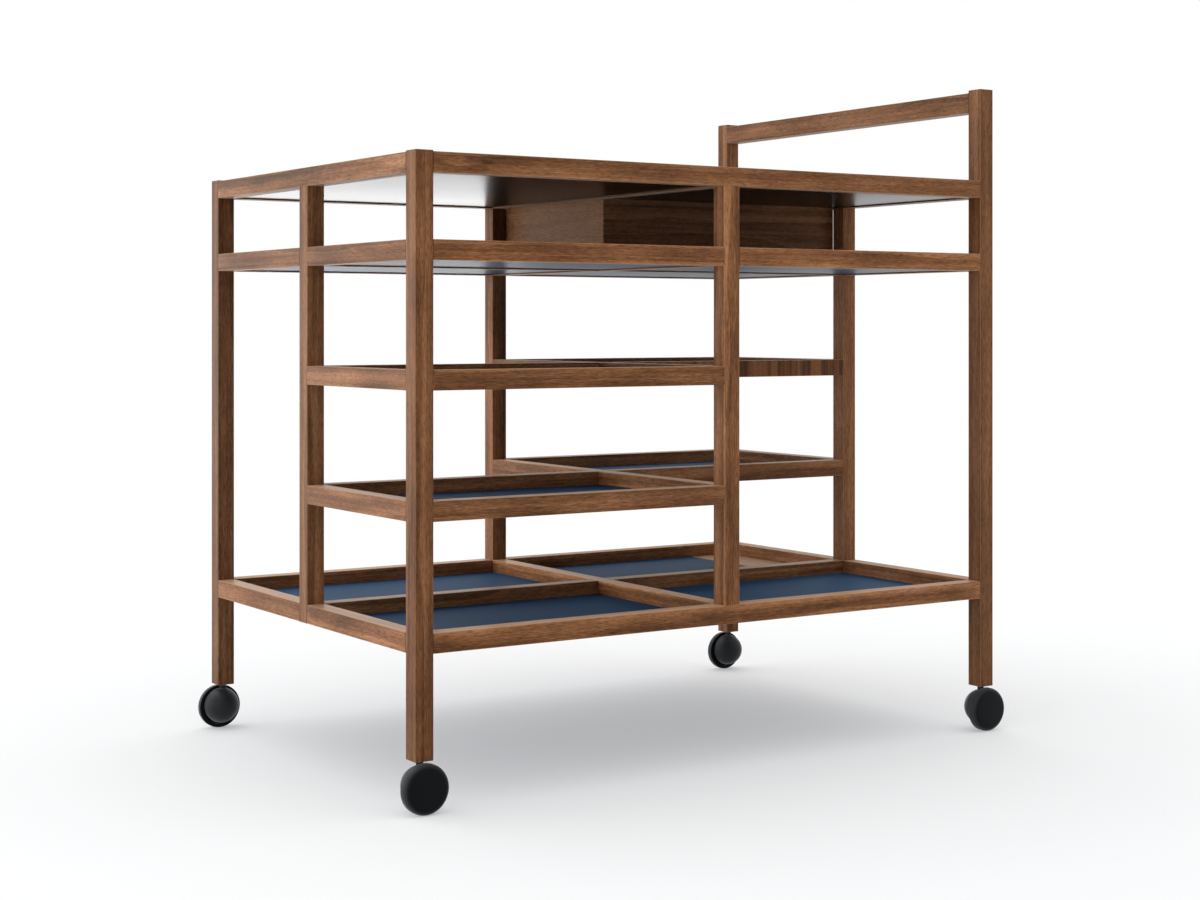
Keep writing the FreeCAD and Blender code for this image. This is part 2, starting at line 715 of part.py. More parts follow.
members = make_posts()
make_rails()
join_middle_posts()
make_handle()
make_panels()
make_housing()
make_runners()
make_drawer()
make_castors()
check_and_write(finish_nodes())
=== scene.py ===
"""Cheese trolley: the finish of its frame, panels and castors, with a floor, light and a camera.

Lengths are metres in the frame's axes: X along the trolley towards the handle, Y to the side where
the drawer opens, Z up, origin on the floor under the middle of the trolley.
"""
import json
import math

import bmesh
import bpy
import numpy as np
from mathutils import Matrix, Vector


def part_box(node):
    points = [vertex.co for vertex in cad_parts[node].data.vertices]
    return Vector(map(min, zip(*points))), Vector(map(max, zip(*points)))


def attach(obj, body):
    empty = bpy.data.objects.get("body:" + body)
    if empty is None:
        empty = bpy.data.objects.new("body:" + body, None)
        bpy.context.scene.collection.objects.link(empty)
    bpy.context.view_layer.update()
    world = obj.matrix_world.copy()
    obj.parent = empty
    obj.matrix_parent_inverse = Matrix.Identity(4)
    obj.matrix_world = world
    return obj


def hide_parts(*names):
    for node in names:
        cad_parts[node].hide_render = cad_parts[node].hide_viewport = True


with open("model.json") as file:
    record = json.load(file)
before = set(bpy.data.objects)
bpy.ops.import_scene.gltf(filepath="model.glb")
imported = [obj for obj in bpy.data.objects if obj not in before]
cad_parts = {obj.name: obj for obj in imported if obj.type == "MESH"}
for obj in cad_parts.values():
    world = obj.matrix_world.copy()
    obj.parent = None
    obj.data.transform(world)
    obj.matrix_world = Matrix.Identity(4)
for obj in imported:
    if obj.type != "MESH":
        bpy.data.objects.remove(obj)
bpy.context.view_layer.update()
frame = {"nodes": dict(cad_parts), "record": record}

SECTION = 0.025
HALF_SECTION = SECTION / 2
END_POST_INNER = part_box("post_front_left")[1].x
SIDE_POST_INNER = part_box("post_front_left")[1].y
CORNERS = ["front_left", "back_left", "front_right", "back_right"]


# Colours and nodes.

def shade(red, green, blue):
    """A screen colour of 0 to 255 as the linear colour that a shader takes."""
    screen = np.array([red, green, blue]) / 255
    linear = np.where(screen <= 0.04045, screen / 12.92, ((screen + 0.055) / 1.055) ** 2.4)
    return (*linear.tolist(), 1.0)


WHITE = (1.0, 1.0, 1.0, 1.0)


class Nodes:
    """A node tree, with short calls that add nodes to it."""

    def __init__(self, tree):
        self.tree = tree

    def put(self, kind, inputs, out=0, **settings):
        """Add a node with these settings, feed its inputs, and return one of its outputs."""
        node = self.tree.nodes.new("ShaderNode" + kind)
        for key, setting in settings.items():
            setattr(node, key, setting)
        for key, source in inputs.items():
            self.fill(node.inputs[key], source)
        return node.outputs[out]

    def fill(self, socket, source):
        """Link a socket to another one, or set its value."""
        if isinstance(source, bpy.types.NodeSocket):
            self.tree.links.new(source, socket)
        else:
            socket.default_value = source

    def maths(self, operation, *sources):
        """One step of arithmetic."""
        return self.put("Math", dict(enumerate(sources)), operation=operation)

    def vector(self, operation, *sources):
        """One step of vector arithmetic."""
        return self.put("VectorMath", dict(enumerate(sources)), operation=operation)

    def length(self, source):
        """The length of a vector."""
        return self.put("VectorMath", {0: source}, out=1, operation="LENGTH")

    def split(self, source):
        """The three parts of a vector."""
        return list(self.put("SeparateXYZ", {0: source}).node.outputs)

    def join(self, *parts):
        """The vector of these three parts."""
        return self.put("CombineXYZ", dict(enumerate(parts)))

    def noise(self, place, detail=2.0, roughness=0.5):
        """Noise that varies over one unit of this place."""
        inputs = {"Vector": place, "Scale": 1.0, "Detail": detail, "Roughness": roughness}
        return self.put("TexNoise", inputs)

    def span(self, source, low, high, to_low=0.0, to_high=1.0):
        """Carry the stretch from low to high to another one, and stop at its ends."""
        inputs = {0: source, 1: low, 2: high, 3: to_low, 4: to_high}
        return self.put("MapRange", inputs)

    def blend(self, share, first, second, kind="MIX"):
        """Mix two colours, which a mixing node takes at its sockets 6 and 7."""
        inputs = {0: share, 6: first, 7: second}
        return self.put("Mix", inputs, out=2, data_type="RGBA", blend_type=kind)

    def layer(self, share, under, over):
        """Mix two shaders."""
        return self.put("MixShader", {0: share, 1: under, 2: over})

    def seen(self):
        """1 for what the camera sees, straight or in a reflection or through clear material."""
        paths = ("Is Camera Ray", "Is Glossy Ray", "Is Transmission Ray")
        camera, glossy, clear = [self.put("LightPath", {}, out=path) for path in paths]
        return self.maths("MAXIMUM", self.maths("MAXIMUM", camera, glossy), clear)


class Finish(Nodes):
    """A material being made: its nodes and its shader."""

    def __init__(self, name):
        self.material = bpy.data.materials.new(name)
        self.material.use_nodes = True
        super().__init__(self.material.node_tree)
        self.shader = self.tree.nodes["Principled BSDF"]

    def place(self):
        """The place on the piece, in metres of the frame."""
        return self.put("TexCoord", {}, out="Object")

    def facing(self):
        """The direction that the surface faces, in the frame's axes."""
        return self.put("TexCoord", {}, out="Normal")

    def speckle(self, fineness, detail):
        """Noise that varies this many times in a metre along X, Y and Z."""
        return self.noise(self.vector("MULTIPLY", self.place(), fineness), detail=detail)

    def relief(self, strength, depth, height):
        """The surface's direction, tipped by the slopes of a height."""
        return self.put("Bump", {"Strength": strength, "Distance": depth, "Height": height})

    def feed(self, **sources):
        """Feed or set the shader's sockets; an underscore stands for a space."""
        for key, source in sources.items():
            self.fill(self.shader.inputs[key.replace("_", " ")], source)
        return self.material


# Walnut.

WALNUT_TONES = [
    (0.00, shade(66, 40, 22)),
    (0.32, shade(99, 63, 38)),
    (0.58, shade(125, 83, 52)),
    (1.00, shade(161, 113, 78)),
]
WALNUT_PORE = shade(48, 29, 16)
# pale walnut for worn arrises, and for the painted highlight on arrises and the painted light on
# upper faces
WALNUT_WORN_AND_LIT = shade(200, 152, 110)
WALNUT_BLOOM = shade(244, 222, 196)

# the axes across the grain and then the one along it
GRAIN_AXES = {"x": (1, 2, 0), "y": (2, 0, 1), "z": (0, 1, 2), "mixed": (1, 2, 0)}
END_RAIL_PLAY = 0.001

# each pattern's fineness across and along the grain, in a metre, its detail and its roughness
PATTERNS = {
    "wander": (26.0, 2.2, 2.0, 0.5),
    "broad": (62.0, 1.5, 2.0, 0.55),
    "streak": (260.0, 5.0, 3.0, 0.6),
    "fibre": (900.0, 70.0, 3.0, 0.7),
    "cloud": (28.0, 8.0, 3.0, 0.5),
    "pore": (1500.0, 110.0, 1.0, 0.5),
}
KNOT_FINENESS = (17.0, 3.1)
KNOT_REACH = 0.42
KNOT_BEND = 0.010
RING_WIDTH = 0.0160
RING_BEND = 0.030
RING_EDGE = 0.90
RING_WEIGHT = 0.34
FIGURE_WEIGHTS = {"broad": 0.95, "streak": 0.70, "cloud": 0.85}
FIBRE_WEIGHT = 1.15
PORE_EDGE = (0.54, 0.66)
PORE_SHARE = 0.55

# how far a surface turns from the axes at an arris, and how squarely a face meets an axis
ARRIS_TURN = (0.84, 0.96)
FACE_TURN = (0.9, 0.98)
# how much paler arrises are (wear and a painted highlight) and upper faces are (painted light from
# above)
ARRIS_WEAR_AND_HIGHLIGHT = 0.30
TOP_PAINTED_LIGHT = 0.40
END_GRAIN_SHARE = 0.40
SEAM_HALF = 0.00035
SEAM_SHARE = 0.6
WALNUT_GLOSS = 0.42
NOISE_MIDDLE = (0.3, 0.7)

STRIPE_FINENESS = 95.0
STRIPE_LEAN = 3.0
STRIPE_START = 7.3
STRIPE_EDGE = (0.36, 0.62)
STRIPE_LEVELS = (0.02, 0.52)


def grain_place(make, grain):
    """The place with its first two axes across the grain and its third along it.

    The grain runs along one axis, or along Y on the end rails and X on the others where it is
    "mixed".
    """
    parts = make.split(make.place())

    def arranged(axes):
        return make.join(*(parts[axis] for axis in axes))

    if grain != "mixed":
        return arranged(GRAIN_AXES[grain])
    from_middle = make.maths("ABSOLUTE", parts[0])
    at_end = make.maths("GREATER_THAN", from_middle, -END_POST_INNER - END_RAIL_PLAY)
    inputs = {0: at_end, 4: arranged(GRAIN_AXES["x"]), 5: arranged(GRAIN_AXES["y"])}
    return make.put("Mix", inputs, out=1, data_type="VECTOR")


def growth_rings(make, local, heart, wander, knot):
    """How far the place is through its ring: (|place - heart| + bends) / width, its fraction.

    Both axes across the grain count in the distance. It falls back to 0 in a fine edge.
    """
    across = make.vector("SUBTRACT", local, (heart[0], heart[1], 0.0))
    radius = make.length(make.vector("MULTIPLY", across, (1, 1, 0)))
    bulge = make.span(knot, 0.0, KNOT_REACH, 1.0, 0.0)
    bent = make.maths("MULTIPLY_ADD", wander, RING_BEND, radius)
    bent = make.maths("MULTIPLY_ADD", make.maths("POWER", bulge, 2.0), KNOT_BEND, bent)
    ring = make.maths("FRACT", make.maths("DIVIDE", bent, RING_WIDTH))
    return make.maths("MULTIPLY", ring, make.span(ring, RING_EDGE, 1.0, 1.0, 0.0))


def striped(make, level):
    """Crosswise veneer stripes of uneven width on the half of a rail towards the handle."""
    x, _, z = make.split(make.place())
    along = make.maths("MULTIPLY", x, STRIPE_FINENESS)
    lean = make.maths("MULTIPLY", z, STRIPE_LEAN)
    band = make.noise(make.join(along, STRIPE_START, lean), detail=2.0, roughness=0.6)
    band = make.span(band, *STRIPE_EDGE, *STRIPE_LEVELS)
    half = make.maths("GREATER_THAN", x, HALF_SECTION)
    return make.put("Mix", {0: half, 2: level, 3: band}, data_type="FLOAT")


def wood_ramp(make, level):
    """The walnut's colour at a level from dark to pale."""
    ramp = make.tree.nodes.new("ShaderNodeValToRGB")
    stops = ramp.color_ramp.elements
    for at, colour in WALNUT_TONES[1:-1]:
        stops.new(at)
    for stop, (at, colour) in zip(stops, WALNUT_TONES):
        stop.position, stop.color = at, colour
    make.tree.links.new(level, ramp.inputs[0])
    return ramp.outputs[0]


def worn_with_painted_light(make, colour, grain):
    """Arrises worn and painted paler as a highlight, upper faces painted lit, end grain darker
    with oil.
    """
    sides = make.split(make.vector("ABSOLUTE", make.facing()))
    squarest = make.maths("MAXIMUM", make.maths("MAXIMUM", sides[0], sides[1]), sides[2])
    upward = make.split(make.facing())[2]
    # arrises paler: partly wear, partly a painted highlight
    arris = make.span(squarest, *ARRIS_TURN, ARRIS_WEAR_AND_HIGHLIGHT, 0.0)
    # painted light: upward faces paler as if lit from above
    top = make.span(upward, *FACE_TURN, 0.0, TOP_PAINTED_LIGHT)
    colour = make.blend(make.maths("ADD", arris, top), colour, WALNUT_WORN_AND_LIT)
    if grain == "mixed":
        return colour
    end_grain = make.span(sides["xyz".index(grain)], *FACE_TURN, 0.0, END_GRAIN_SHARE)
    return make.blend(end_grain, colour, WALNUT_TONES[0][1])


def walnut(name, grain, heart, tone, seams, figure, stripes):
    """Oiled walnut: growth rings round a heart line beside the member, streaks, fibres and pores.

    The ring field is the distance from the heart line, bent by slow noise. Each ring darkens
    slowly and ends in a fine edge. Streaks and fibres are noise drawn out along the grain. The
    figure is how strongly all but the fibres show.
    """
    make = Finish(name)
    local = grain_place(make, grain)
    own_part = (heart[0] * 31, heart[1] * 37, heart[0] * 17 + heart[1] * 13)
    shifted = make.vector("ADD", local, own_part)

    def drawn_out(across, along):
        """The place scaled so that patterns run out along the grain."""
        return make.vector("MULTIPLY", shifted, (across, across, along))

    noise = {key: make.noise(drawn_out(across, along), detail, roughness)
             for key, (across, along, detail, roughness) in PATTERNS.items()}
    cells = {"Vector": drawn_out(*KNOT_FINENESS), "Scale": 1.0, "Randomness": 1.0}
    ring = growth_rings(make, local, heart, noise["wander"], make.put("TexVoronoi", cells))
    pore = make.span(noise["pore"], *PORE_EDGE)

    level = make.maths("MULTIPLY_ADD", ring, -RING_WEIGHT * figure, RING_WEIGHT / 2 * figure)
    weights = {key: weight * figure for key, weight in FIGURE_WEIGHTS.items()}
    for key, weight in (*weights.items(), ("fibre", FIBRE_WEIGHT)):
        from_middle = make.maths("SUBTRACT", noise[key], 0.5)
        level = make.maths("MULTIPLY_ADD", from_middle, weight, level)
    level = make.maths("ADD", level, 0.5)
    if stripes:
        level = striped(make, level)
    pores = make.maths("MULTIPLY", pore, PORE_SHARE)
    colour = make.blend(pores, wood_ramp(make, level), WALNUT_PORE)
    colour = worn_with_painted_light(make, colour, grain)

    # fine dark lines where a rail meets a post
    for axis, at in seams:
        along = make.split(make.place())["xyz".index(axis)]
        line = make.maths("COMPARE", make.maths("ABSOLUTE", along), at, SEAM_HALF)
        colour = make.blend(make.maths("MULTIPLY", line, SEAM_SHARE), colour, WALNUT_PORE)
    colour = make.blend(1.0, colour, (*tone, 1.0), kind="MULTIPLY")

    height = make.maths("MULTIPLY_ADD", pore, -0.9, make.maths("MULTIPLY", noise["fibre"], 0.5))
    rough = make.span(noise["fibre"], *NOISE_MIDDLE, WALNUT_GLOSS - 0.05, WALNUT_GLOSS + 0.08)
    return make.feed(
        Base_Color=colour, Roughness=rough, Normal=make.relief(0.25, 0.0002, height),
        Specular_IOR_Level=0.1, Sheen_Weight=0.22, Sheen_Roughness=0.3, Sheen_Tint=WALNUT_BLOOM)


# how a wooden node's name ends where its grain runs along Y
ACROSS_ENDINGS = ("_left", "_right", "_cross", "_side", "handle_rail", "_sides", "_runners",
                  "_end_board")
# rails that no other member meets halfway
WHOLE_RAILS = ("top_rail_front", "top_rail_back", "bottom_rail_front", "bottom_rail_back",
               "top_rail_left", "top_rail_right", "top_rail_cross", "handle_rail")
# how much paler each piece of wood is than the middle of the batch (below 1 darker): partly its
# own tone, partly painted light and shade for how much light each piece gets
PIECE_TONES_AND_PAINTED_LIGHT = {
    "bottom_rail_front": 1.50, "bottom_rail_back": 1.20, "bottom_rail_cross": 1.95,
    "bottom_rails_side": 1.40, "bottom_end_board": 1.70,
    "fourth_rail_cross": 1.60, "fourth_rails_outer": 1.08, "fourth_rail_long": 1.15,
    "third_rails_outer": 1.18, "third_rail_long": 1.45,
    "second_rails_front": 1.30, "second_rails_left": 1.05,
    "top_rail_front": 1.35, "top_rail_left": 1.08, "handle_rail": 0.90,
    "post_back_left": 0.82, "post_back_middle": 1.35, "post_back_right": 1.10,
    "post_front_left": 0.87, "post_front_middle": 1.22, "post_front_right": 0.96,
    "post_left_middle": 1.05, "post_right_middle": 1.30,
    "housing_left": 1.95, "housing_inner": 1.20,
}
# how strongly the figure shows on the plainer pieces
PIECE_FIGURES = {"housing_left": 0.35, "post_right_middle": 0.45, "post_front_right": 0.5}
# boards that are less red than the rest, and by how much
COOLER_BOARDS = ("housing_left", "bottom_end_board")
COOLER_BY = 0.08
STRIPED_RAIL = "third_rail_long"


def rail_grain(node):
    """The grain's axis of a wooden node, by its name."""
    if node.endswith("_outer"):
        return "mixed"
    if node.startswith("post_"):
        return "z"
    return "y" if node.endswith(ACROSS_ENDINGS) else "x"


def rail_seams(node, grain):
    """Where joints show as fine lines: an axis and a distance from the middle, for each."""
    ends = {"x": END_POST_INNER, "y": SIDE_POST_INNER}
    if "rail" not in node or grain not in ends:
        return ()
    at_ends, halfway = (grain, abs(ends[grain])), (grain, HALF_SECTION)
    return (at_ends,) if node in WHOLE_RAILS else (at_ends, halfway)


def finish_wood():
    """Give every wooden node its own piece of walnut."""
    chance = np.random.default_rng(12)
    slots = {part["node"]: part["material_slot"] for part in frame["record"]["subparts"]}
    for node in sorted(frame["nodes"]):
        if not slots[node].startswith("walnut"):
            continue
        grain = rail_grain(node)
        low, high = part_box(node)
        middle = (low + high) / 2
        aside = chance.uniform(0.03, 0.09, 2) * chance.choice([-1, 1], 2)
        heart = [middle[axis] + shift for axis, shift in zip(GRAIN_AXES[grain], aside)]
        # the random part is the wood's own tone; the listed part adds painted light and shade
        light = chance.uniform(0.92, 1.08) * PIECE_TONES_AND_PAINTED_LIGHT.get(node, 1.0)
        warm = chance.uniform(-0.03, 0.03) - (COOLER_BY if node in COOLER_BOARDS else 0.0)
        tone = (light * (1 + warm), light, light * (1 - warm))
        figure = PIECE_FIGURES.get(node, 1.0)
        wear(node, walnut("walnut_" + node, grain, heart, tone, rail_seams(node, grain), figure,
                          node == STRIPED_RAIL))


def wear(node, material):
    """Put one material on a CAD node."""
    slots = frame["nodes"][node].material_slots
    if not slots:
        frame["nodes"][node].data.materials.append(material)
    for slot in slots:
        slot.link = "OBJECT"
        slot.material = material


# Panels and castors.

def laminate(name, colour, upper, under, mottle, shine):
    """Smooth sheet with a faint cloudiness in colour and gloss, and its own gloss underneath."""
    make = Finish(name)
    cloud = make.speckle((9.0, 9.0, 9.0), 3.0)
    fine = make.speckle((900.0, 900.0, 900.0), 1.0)
    pale = (*(channel * (1 + mottle) for channel in colour[:3]), 1.0)
    deep = (*(channel * (1 - mottle) for channel in colour[:3]), 1.0)
    gloss = make.span(make.split(make.facing())[2], -0.5, 0.5, under, upper)
    rough = make.maths("ADD", gloss, make.span(cloud, *NOISE_MIDDLE, -0.005, 0.005))
    colour = make.blend(make.span(cloud, *NOISE_MIDDLE), deep, pale)
    return make.feed(Base_Color=colour, Roughness=rough, Normal=make.relief(0.01, 0.0001, fine),
                     Specular_IOR_Level=shine)


PLASTIC_CLOUD = shade(24, 26, 28)


def castor_plastic(name, gloss, shine, flat, edge):
    """Moulded black plastic with a fine even grain.

    It has one colour where it faces along the axle and another round it; on the wheel that one is
    a paler painted highlight.
    """
    make = Finish(name)
    grain = make.speckle((1600.0, 1600.0, 1600.0), 2.0)
    cloud = make.speckle((60.0, 60.0, 60.0), 2.0)
    along = make.maths("ABSOLUTE", make.split(make.facing())[1])
    # painted highlight: away from the axle's direction the surface takes the other, on the wheel
    # paler, colour
    colour = make.blend(make.span(along, 0.6, 0.97, 1.0, 0.0), flat, edge)
    colour = make.blend(make.span(cloud, *NOISE_MIDDLE, 0.0, 0.15), colour, PLASTIC_CLOUD)
    rough = make.span(grain, *NOISE_MIDDLE, gloss - 0.05, gloss + 0.05)
    return make.feed(Base_Color=colour, Roughness=rough, Normal=make.relief(0.12, 0.0001, grain),
                     Specular_IOR_Level=shine, Sheen_Weight=0.3, Sheen_Roughness=0.4)


def pin_steel(name):
    """Turned steel with fine marks round its length."""
    make = Finish(name)
    marks = make.speckle((200.0, 200.0, 6000.0), 2.0)
    rough = make.span(marks, *NOISE_MIDDLE, 0.25, 0.4)
    return make.feed(Base_Color=shade(176, 176, 178), Metallic=1.0, Roughness=rough)


def finish_panels():
    """The black top, the blue trays and the steel of the castors."""
    finishes = {
        "panel_black": laminate("black_top", shade(7, 7, 9), 0.30, 0.30, 0.10, 0.5),
        "panel_blue": laminate("blue_tray", shade(34, 78, 115), 0.62, 0.40, 0.05, 0.15),
        "castor_steel": pin_steel("pin_steel"),
    }
    for part in frame["record"]["subparts"]:
        if part["material_slot"] in finishes:
            wear(part["node"], finishes[part["material_slot"]])


# Shapes of the castors.

ARC_STEPS = 8


def rounded(corners, radii):
    """A profile whose corners are arcs.

    At a corner P with unit directions a and b to its neighbours and the angle w between them, the
    arc of radius r starts r / tan(w / 2) along a, ends as far along b, and is centred
    r / sin(w / 2) along a + b. Its points come from turning one arm of the centre to the other.
    """
    corners = np.array(corners, float)
    radii = np.array(radii, float)[:, None]
    before = np.roll(corners, 1, axis=0) - corners
    after = np.roll(corners, -1, axis=0) - corners
    before /= np.linalg.norm(before, axis=1, keepdims=True)
    after /= np.linalg.norm(after, axis=1, keepdims=True)
    half = np.arccos(np.sum(before * after, axis=1, keepdims=True).clip(-1, 1)) / 2
    between = before + after
    between /= np.linalg.norm(between, axis=1, keepdims=True)
    centre = (corners + between * radii / np.sin(half))[:, None]
    start = (corners + before * radii / np.tan(half))[:, None] - centre
    end = (corners + after * radii / np.tan(half))[:, None] - centre
    sweep = (math.pi - 2 * half)[:, None, :]
    share = np.linspace(0, 1, ARC_STEPS)[None, :, None]
    arms = np.sin((1 - share) * sweep) * start + np.sin(share * sweep) * end
    return (centre + arms / np.sin(sweep)).reshape(-1, 2)


def turned(profile, centre, axis, steps):
    """A lathe surface: centre + axis * height + radius * (side * cos a + other * sin a).

    Each profile point is a radius and a height; the grid runs over the profile and the angle a.
    """
    axis = np.array(axis, float)
    side = np.roll(axis, 1)
    other = np.cross(axis, side)
    angle = np.linspace(0, 2 * math.pi, steps, endpoint=False)
    around = np.outer(np.cos(angle), side) + np.outer(np.sin(angle), other)
    radius, height = np.array(profile).T
    return np.array(centre) + height[:, None, None] * axis + radius[:, None, None] * around[None]


def piece_of(name, grids, material, body, replaced):
    """One smooth piece from grids of points that close round their second direction."""
    made = bmesh.new()
    for grid in grids:
        rows, columns = grid.shape[:2]
        row, column = np.meshgrid(np.arange(rows - 1), np.arange(columns), indexing="ij")
        here, beside = row * columns + column, row * columns + (column + 1) % columns
        quads = np.stack([here, beside, beside + columns, here + columns], axis=-1)
        mesh = bpy.data.meshes.new(name)
        mesh.from_pydata(grid.reshape(-1, 3).tolist(), [], quads.reshape(-1, 4).tolist())
        made.from_mesh(mesh)
        bpy.data.meshes.remove(mesh)
    bmesh.ops.remove_doubles(made, verts=made.verts, dist=1e-6)
    bmesh.ops.recalc_face_normals(made, faces=made.faces)
    mesh = bpy.data.meshes.new(name)
    made.to_mesh(mesh)
    made.free()
    mesh.polygons.foreach_set("use_smooth", np.ones(len(mesh.polygons), bool))
    mesh.set_sharp_from_angle(angle=math.radians(40))
    mesh.materials.append(material)
    piece = bpy.data.objects.new(name, mesh)
    bpy.context.scene.collection.objects.link(piece)
    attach(piece, body)
    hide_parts(replaced)
    return piece


WIDE_STEPS = 128
NARROW_STEPS = 48
DOME_STEPS = 40
WHEEL_CROWN = 0.0005
WHEEL_EDGE = 0.0075
RIM_WIDE = 0.0055
RIM_SOFT = 0.0005
TREAD_SOFT = 0.001
DISH_DEEP = 0.008
DISH_SOFT = 0.001
HUB_ROUND = 0.009
HUB_SOFT = 0.0005
BORE_ROUND = 0.00306
BORE_DEEP = 0.010
BORE_SOFT = 0.0003
HOOD_SKIRT = 0.0025
HOOD_WALL = 0.003
HOOD_GAP = 0.002
LIP = 0.0006
BOSS_ROUND = 0.006
NECK_ROUND = 0.0046
NECK_LONG = 0.022


def make_wheel(corner, material):
    """The disc wheel: outside a crowned face with a wide rounded edge, inside a dish and hub."""
    node = f"castor_{corner}_wheel"
    low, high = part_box(node)
    middle = (low + high) / 2
    outward = math.copysign(1.0, middle.y)
    radius, thick = (high.x - low.x) / 2, high.y - low.y
    inner_face = min(abs(low.y), abs(high.y)) * outward
    # each corner of the profile: its distance from the axle, its height and its rounding
    corners = [
        (0, BORE_DEEP, 0),
        (BORE_ROUND, BORE_DEEP, 0),
        (BORE_ROUND, 0, BORE_SOFT),
        (HUB_ROUND, 0, HUB_SOFT),
        (HUB_ROUND, DISH_DEEP, DISH_SOFT),
        (radius - RIM_WIDE, DISH_DEEP, DISH_SOFT),
        (radius - RIM_WIDE, 0, RIM_SOFT),
        (radius, 0, TREAD_SOFT),
        (radius, thick - WHEEL_CROWN, WHEEL_EDGE),
        (0, thick, 0),
    ]
    profile = rounded([point[:2] for point in corners], [point[2] for point in corners])
    grid = turned(profile, (middle.x, inner_face, middle.z), (0, outward, 0), WIDE_STEPS)
    return piece_of(f"wheel_disc_{corner}", [grid], material, f"wheel_{corner}", node)


def hood_profile(radius):
    """The hood's section: a quarter circle outside and inside, a skirt and a soft lip.

    A point of a quarter circle is (r sin a, -skirt - r cos a) for a from 0 to a right angle.
    """
    inner = radius - HOOD_WALL
    turn = np.linspace(0, math.pi / 2, DOME_STEPS)
    quarter = np.stack([np.sin(turn), -np.cos(turn)], axis=1)
    outside = (0, -HOOD_SKIRT) + radius * quarter
    inside = ((0, -HOOD_SKIRT) + inner * quarter)[::-1]
    lip = rounded([(radius, -2 * LIP), (radius, 0), (inner, 0), (inner, -2 * LIP)],
                  [0, LIP, LIP / 2, 0])
    return np.concatenate([outside, lip, inside])


def make_hood(corner, material):
    """The hood: half a hollow ball with a short skirt and soft lip, its axle boss and its neck."""
    node = f"castor_{corner}_hood"
    low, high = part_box(node)
    wheel_low, wheel_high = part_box(f"castor_{corner}_wheel")
    post_low, post_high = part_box(f"post_{corner}")
    stem = (post_low + post_high) / 2
    middle_x = (low.x + high.x) / 2
    axle_z = (wheel_low.z + wheel_high.z) / 2
    outward = math.copysign(1.0, low.y)
    radius = (high.x - low.x) / 2
    face = (min(abs(wheel_low.y), abs(wheel_high.y)) - HOOD_GAP) * outward
    boss_end = -HOOD_SKIRT - (radius - HOOD_WALL)
    boss = rounded([(0, boss_end), (BOSS_ROUND, boss_end), (BOSS_ROUND, 0), (0, 0)],
                   [0, 0, LIP, 0])
    neck = rounded([(0, 0), (NECK_ROUND, 0), (NECK_ROUND, NECK_LONG), (0, NECK_LONG)],
                   [0, 0, LIP, 0])
    across, up = (0, outward, 0), (0, 0, 1)
    grids = [
        turned(hood_profile(radius), (middle_x, face, low.z + radius), across, WIDE_STEPS),
        turned(boss, (middle_x, face, axle_z), across, NARROW_STEPS),
        turned(neck, (stem.x, stem.y, high.z - NECK_LONG), up, NARROW_STEPS),
    ]
    return piece_of(f"hood_shell_{corner}", grids, material, f"castor_{corner}", node)


def finish_castors():
    """A hood and a wheel under each corner post."""
    hood_grey = shade(30, 32, 35)
    hood_plastic = castor_plastic("hood_plastic", 0.50, 0.18, hood_grey, hood_grey)
    # the wheel's paler colour round its rim is a painted highlight
    wheel_plastic = castor_plastic("wheel_plastic", 0.42, 0.06, shade(10, 12, 15),
                                   shade(50, 52, 55))
    for corner in CORNERS:
        make_hood(corner, hood_plastic)
        make_wheel(corner, wheel_plastic)


# Floor, light and camera.

FLOOR_REACH = 30.0
FLOOR_COLOUR = (0.90, 0.91, 0.92, 1)
# how far from the middle the shadow starts to fade to plain white, and where it has gone
FADE_FROM, FADE_TO = 1.0, 2.6
PLAIN_SHARE = 0.33
# the floor's paleness for the light that it throws back, under the trolley and away from it;
# darker under the trolley, a painted shadow in that light
BOUNCE_FROM, BOUNCE_TO = 0.6, 1.6
BOUNCE_NEAR, BOUNCE_FAR = 0.55, 0.9

WORLD_BASE = 0.35
WORLD_LEFT = 2.9
WORLD_BACK = 0.6
WORLD_TOP = 1.15

# each lamp's place, the point it faces, its size, its watts, and whether it lights the trolley
# or only shows in reflections
LAMPS = {
    "left_softbox": ((-3.8, 0.7, 0.5), (0, 0, 0.5), (2.0, 0.8), 22.0, True),
    "back_strip": ((1.2, 3.9, 0.42), (-0.3, 0, 0.6), (1.7, 0.5), 10.0, False),
    "left_card": ((-1.9, 2.9, 0.55), (0, 0, 0.5), (2.5, 1.0), 14.0, False),
    "high_card": ((-1.7, 1.2, 2.6), (0, 0, 0.3), (2.4, 2.4), 50.0, False),
}

PHOTO_WIDE = 1200
PHOTO_HIGH = 900
HORIZON_ROW = 325.8
SENSOR_MM = 36.0
LENS_MM = 59.83
CAMERA_PLACE = (-1.5955, -2.4533, 0.591)
CAMERA_TURN = -33.014


